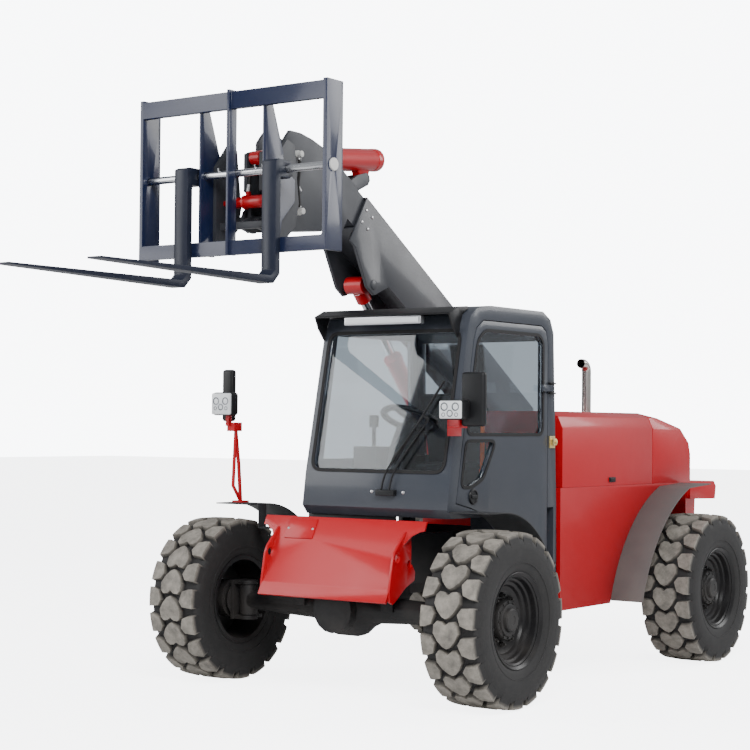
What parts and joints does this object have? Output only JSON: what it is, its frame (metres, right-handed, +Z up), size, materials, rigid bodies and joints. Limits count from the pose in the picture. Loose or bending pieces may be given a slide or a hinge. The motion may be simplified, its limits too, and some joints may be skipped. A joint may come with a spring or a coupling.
{
  "type": "telehandler",
  "caption": "Telescopic handler with a side cab, a two-stage boom carrying pallet forks on a tilting carriage, steered wheels and a side-hinged hood.",
  "frame": {"origin": "on the ground under the middle of the whole machine, fork tips to tail", "axes": "+X is the machine's left, +Y its rear, -Y forward, +Z up"},
  "size_m": [2.558, 6, 3.817],
  "materials": {
    "red_paint": "gloss",
    "grey_paint": "satin",
    "blue_paint": "satin",
    "arch_grey": "matt",
    "dark_metal": "satin",
    "fork_steel": "satin",
    "black_plastic": "matt",
    "tyre_rubber": "matt",
    "glass": "clear",
    "chrome": "polished",
    "bare_steel": "satin",
    "white_lens": "gloss",
    "seat_cloth": "matt",
    "iron": "matt"
  },
  "bodies": {
    "machine": {"body_sides": "red_paint", "boom_tower": "grey_paint", "cab_frame": "grey_paint", "cab_glass": "glass", "chassis_frame": "grey_paint", "controls": "black_plastic", "door_hinges": "black_plastic", "engine_block": "iron", "exhaust": "bare_steel", "front_axle": "dark_metal", "front_fenders": "grey_paint", "front_plate": "red_paint", "lamp_brackets": "red_paint", "light_bar": "white_lens", "mirrors": "black_plastic", "rear_axle": "dark_metal", "rear_fenders": "arch_grey", "rear_hood": "red_paint", "seat": "seat_cloth", "side_tank": "dark_metal", "tail": "dark_metal", "visor": "grey_paint", "work_lamps": "black_plastic"},
    "knuckle_front_left": {"knuckle_front_left": "dark_metal"},
    "wheel_front_left": {"rim_front_left": "dark_metal", "tyre_front_left": "tyre_rubber"},
    "knuckle_front_right": {"knuckle_front_right": "dark_metal"},
    "wheel_front_right": {"rim_front_right": "dark_metal", "tyre_front_right": "tyre_rubber"},
    "knuckle_rear_left": {"knuckle_rear_left": "dark_metal"},
    "wheel_rear_left": {"rim_rear_left": "dark_metal", "tyre_rear_left": "tyre_rubber"},
    "knuckle_rear_right": {"knuckle_rear_right": "dark_metal"},
    "wheel_rear_right": {"rim_rear_right": "dark_metal", "tyre_rear_right": "tyre_rubber"},
    "door": {"cab_door": "grey_paint", "door_glass": "glass"},
    "hood": {"hood": "red_paint"},
    "boom": {"boom_outer": "grey_paint"},
    "telescope": {"boom_inner": "grey_paint"},
    "carriage": {"coupler": "grey_paint", "fork_carriage": "blue_paint", "fork_shaft": "bare_steel", "lock_cylinder": "red_paint"},
    "fork_left": {"fork_left": "fork_steel"},
    "fork_right": {"fork_right": "fork_steel"},
    "lift_barrel": {"lift_barrel": "red_paint"},
    "lift_rod": {"lift_rod": "chrome"},
    "tilt_barrel": {"tilt_barrel": "red_paint"},
    "tilt_rod": {"tilt_rod": "chrome"}
  },
  "joints": [
    {"name": "front_steer_left", "type": "hinge", "parent": "machine", "child": "knuckle_front_left", "pos_m": [0.84, -0.8, 0.5375], "axis": [0, 0, 1], "range_deg": [-30, 30]},
    {"name": "front_left_spin", "type": "hinge", "parent": "knuckle_front_left", "child": "wheel_front_left", "pos_m": [1.065, -0.8, 0.5375], "axis": [1, 0, 0], "continuous": true},
    {"name": "front_steer_right", "type": "hinge", "parent": "machine", "child": "knuckle_front_right", "pos_m": [-0.84, -0.8, 0.5375], "axis": [0, 0, 1], "range_deg": [-30, 30]},
    {"name": "front_right_spin", "type": "hinge", "parent": "knuckle_front_right", "child": "wheel_front_right", "pos_m": [-1.065, -0.8, 0.5375], "axis": [1, 0, 0], "continuous": true},
    {"name": "rear_steer_left", "type": "hinge", "parent": "machine", "child": "knuckle_rear_left", "pos_m": [0.84, 2.05, 0.5375], "axis": [0, 0, 1], "range_deg": [-30, 30]},
    {"name": "rear_left_spin", "type": "hinge", "parent": "knuckle_rear_left", "child": "wheel_rear_left", "pos_m": [1.065, 2.05, 0.5375], "axis": [1, 0, 0], "continuous": true},
    {"name": "rear_steer_right", "type": "hinge", "parent": "machine", "child": "knuckle_rear_right", "pos_m": [-0.84, 2.05, 0.5375], "axis": [0, 0, 1], "range_deg": [-30, 30]},
    {"name": "rear_right_spin", "type": "hinge", "parent": "knuckle_rear_right", "child": "wheel_rear_right", "pos_m": [-1.065, 2.05, 0.5375], "axis": [1, 0, 0], "continuous": true},
    {"name": "boom_lift", "type": "hinge", "parent": "machine", "child": "boom", "pos_m": [-0.52, 1.95, 1.64], "axis": [-1, 0, 0], "range_deg": [-37, 30]},
    {"name": "telescope", "type": "slide", "parent": "boom", "child": "telescope", "axis": [0, -0.848, 0.5299], "range_m": [0, 1.5]},
    {"name": "carriage_tilt", "type": "hinge", "parent": "telescope", "child": "carriage", "pos_m": [-0.52, -1.1, 3.02], "axis": [1, 0, 0], "range_deg": [-47, 73]},
    {"name": "fork_left_slide", "type": "slide", "parent": "carriage", "child": "fork_left", "axis": [1, 0, 0], "range_m": [-0.025, 0.3]},
    {"name": "fork_right_slide", "type": "slide", "parent": "carriage", "child": "fork_right", "axis": [-1, 0, 0], "range_m": [-0.025, 0.3]},
    {"name": "lift_barrel_swing", "type": "hinge", "parent": "machine", "child": "lift_barrel", "pos_m": [-0.52, 1.51, 0.95], "axis": [-1, 0, 0], "range_deg": [-37, 30]},
    {"name": "lift_rod_slide", "type": "slide", "parent": "lift_barrel", "child": "lift_rod", "axis": [0, -0.6693, 0.743], "range_m": [-0.52, 0.42]},
    {"name": "tilt_barrel_swing", "type": "hinge", "parent": "telescope", "child": "tilt_barrel", "pos_m": [-0.52, -0.00586, 3.41637], "axis": [1, 0, 0], "range_deg": [-6, 6]},
    {"name": "tilt_rod_slide", "type": "slide", "parent": "tilt_barrel", "child": "tilt_rod", "axis": [0, -0.9936, -0.1133], "range_m": [-0.28, 0.43]},
    {"name": "door_swing", "type": "hinge", "parent": "machine", "child": "door", "pos_m": [0.798, 0.36, 1.36], "axis": [0, 0, 1], "range_deg": [0, 90]},
    {"name": "hood_lift", "type": "hinge", "parent": "machine", "child": "hood", "pos_m": [-0.325, 1.2, 1.804], "axis": [0, -1, 0], "range_deg": [0, 60]}
  ],
  "couplings": [
    {"joint": "front_steer_right", "follows": "front_steer_left", "ratio": 1},
    {"joint": "rear_steer_right", "follows": "rear_steer_left", "ratio": 1},
    {"joint": "lift_barrel_swing", "follows": "boom_lift", "ratio": 0.925},
    {"joint": "lift_rod_slide", "follows": "boom_lift", "m_per_rad": 0.78},
    {"joint": "tilt_barrel_swing", "follows": "carriage_tilt", "ratio": 0.06},
    {"joint": "tilt_rod_slide", "follows": "carriage_tilt", "m_per_rad": 0.33}
  ]
}
